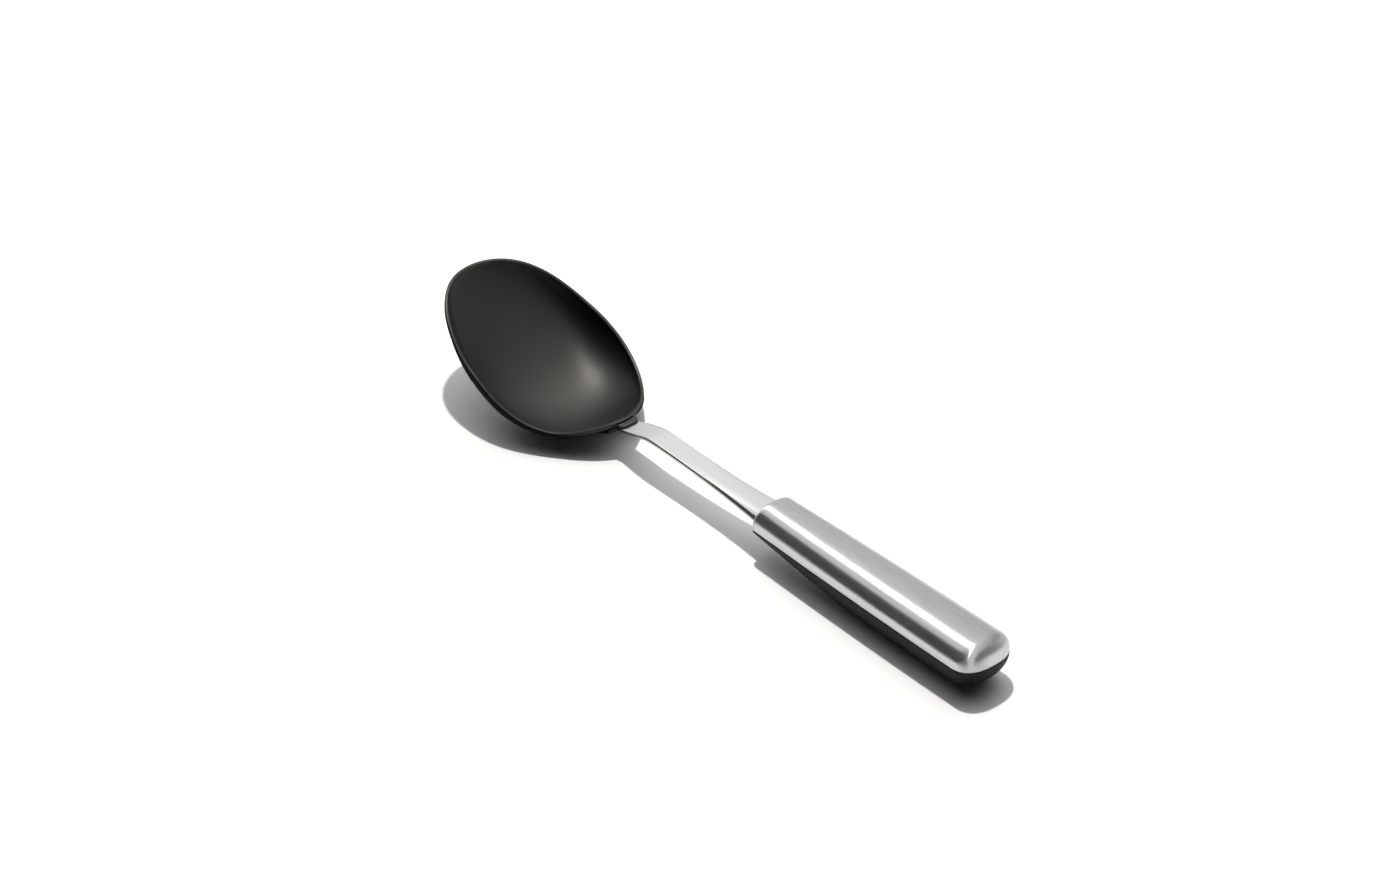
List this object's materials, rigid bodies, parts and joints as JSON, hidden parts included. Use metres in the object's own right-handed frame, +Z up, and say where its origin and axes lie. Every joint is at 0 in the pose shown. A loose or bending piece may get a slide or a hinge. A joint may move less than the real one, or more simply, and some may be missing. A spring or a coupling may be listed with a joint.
{
  "type": "cooking spoon",
  "caption": "Cooking spoon with a deep egg-shaped nylon bowl, a bent flat steel neck and a round-butted handle with a brushed steel cover over a soft grip",
  "frame": {"origin": "On the table under the middle of the spoon's length, on its plane of symmetry", "axes": "X runs along the spoon from the bowl's tip at -X to the butt at +X, Y runs across it, Z is up from the table it lies on"},
  "size_m": [0.3132, 0.0688, 0.0391],
  "materials": {
    "nylon": "moulded black nylon with a soft sheen",
    "neck_steel": "satin stainless steel strip",
    "core_plastic": "moulded core, hidden inside the handle",
    "cover_steel": "stainless steel brushed along the handle",
    "grip_rubber": "matt black soft-touch grip"
  },
  "bodies": {
    "root": {"bowl": "nylon", "neck": "neck_steel", "handle_core": "core_plastic", "handle_cover": "cover_steel", "handle_grip": "grip_rubber"}
  },
  "joints": []
}
